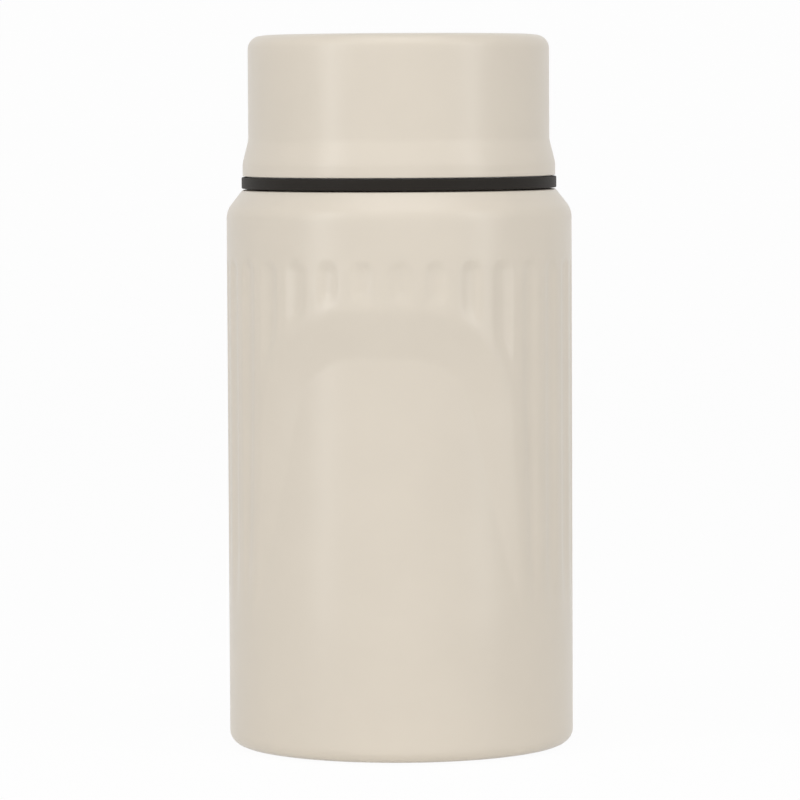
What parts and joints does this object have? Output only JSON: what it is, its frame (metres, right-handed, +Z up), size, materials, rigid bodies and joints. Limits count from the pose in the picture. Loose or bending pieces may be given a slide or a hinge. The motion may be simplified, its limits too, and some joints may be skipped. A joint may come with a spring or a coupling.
{
  "type": "insulated food jar",
  "caption": "Insulated food jar: fluted double-wall steel body with arched hollows, screw stopper with pressure vent, and screw-on cup lid.",
  "frame": {"origin": "centre of the flat face that the jar stands on", "axes": "+Z up along the jar's axis, -Y towards the front, where one of the two arched hollows is"},
  "size_m": [0.098, 0.098, 0.202],
  "materials": {
    "shell_paint": "satin powder coat, cream",
    "bare_steel": "brushed stainless steel",
    "black_plastic": "matt moulded plastic, black",
    "grey_plastic": "matt moulded plastic, mid grey",
    "white_silicone": "soft matt silicone, translucent white",
    "pad_silicone": "soft matt silicone, warm grey",
    "foil": "bright foil",
    "glass_bead": "fused bead",
    "foam": "closed-cell foam",
    "spring_steel": "drawn spring wire"
  },
  "bodies": {
    "jar": {"outer_shell": "shell_paint", "inner_liner": "bare_steel", "foil_wrap": "foil", "getter": "bare_steel", "base_plate": "bare_steel", "vacuum_seal": "glass_bead", "base_pad": "pad_silicone"},
    "stopper_ring": {"stopper_gasket": "white_silicone"},
    "stopper": {"stopper_body": "black_plastic", "stopper_plug": "black_plastic", "stopper_foam": "foam", "vent_collar": "black_plastic", "vent_spring": "spring_steel"},
    "vent": {"vent_button": "grey_plastic", "vent_stem": "grey_plastic", "vent_seal": "white_silicone"},
    "cup_ring": {"cup_gasket": "white_silicone"},
    "cup": {"cup_shell": "shell_paint", "cup_liner": "black_plastic", "cup_foam": "foam"}
  },
  "joints": [
    {"name": "stopper_lift", "type": "slide", "parent": "jar", "child": "stopper_ring", "axis": [0, 0, 1], "range_m": [0, 0.048]},
    {"name": "stopper_turn", "type": "hinge", "parent": "stopper_ring", "child": "stopper", "pos_m": [0, 0, 0.1772], "axis": [0, 0, 1], "range_deg": [0, 720]},
    {"name": "vent_press", "type": "slide", "parent": "stopper", "child": "vent", "axis": [0, 0, -1], "range_m": [0, 0.002], "stiffness_N_per_m": 400, "springref_m": -0.001, "deforming": ["vent_spring"]},
    {"name": "cup_lift", "type": "slide", "parent": "stopper", "child": "cup_ring", "axis": [0, 0, 1], "range_m": [0, 0.048]},
    {"name": "cup_turn", "type": "hinge", "parent": "cup_ring", "child": "cup", "pos_m": [0, 0, 0.1621], "axis": [0, 0, 1], "range_deg": [0, 720]}
  ],
  "couplings": [
    {"joint": "stopper_turn", "follows": "stopper_lift", "rad_per_m": 261.8},
    {"joint": "cup_turn", "follows": "cup_lift", "rad_per_m": 261.8}
  ]
}
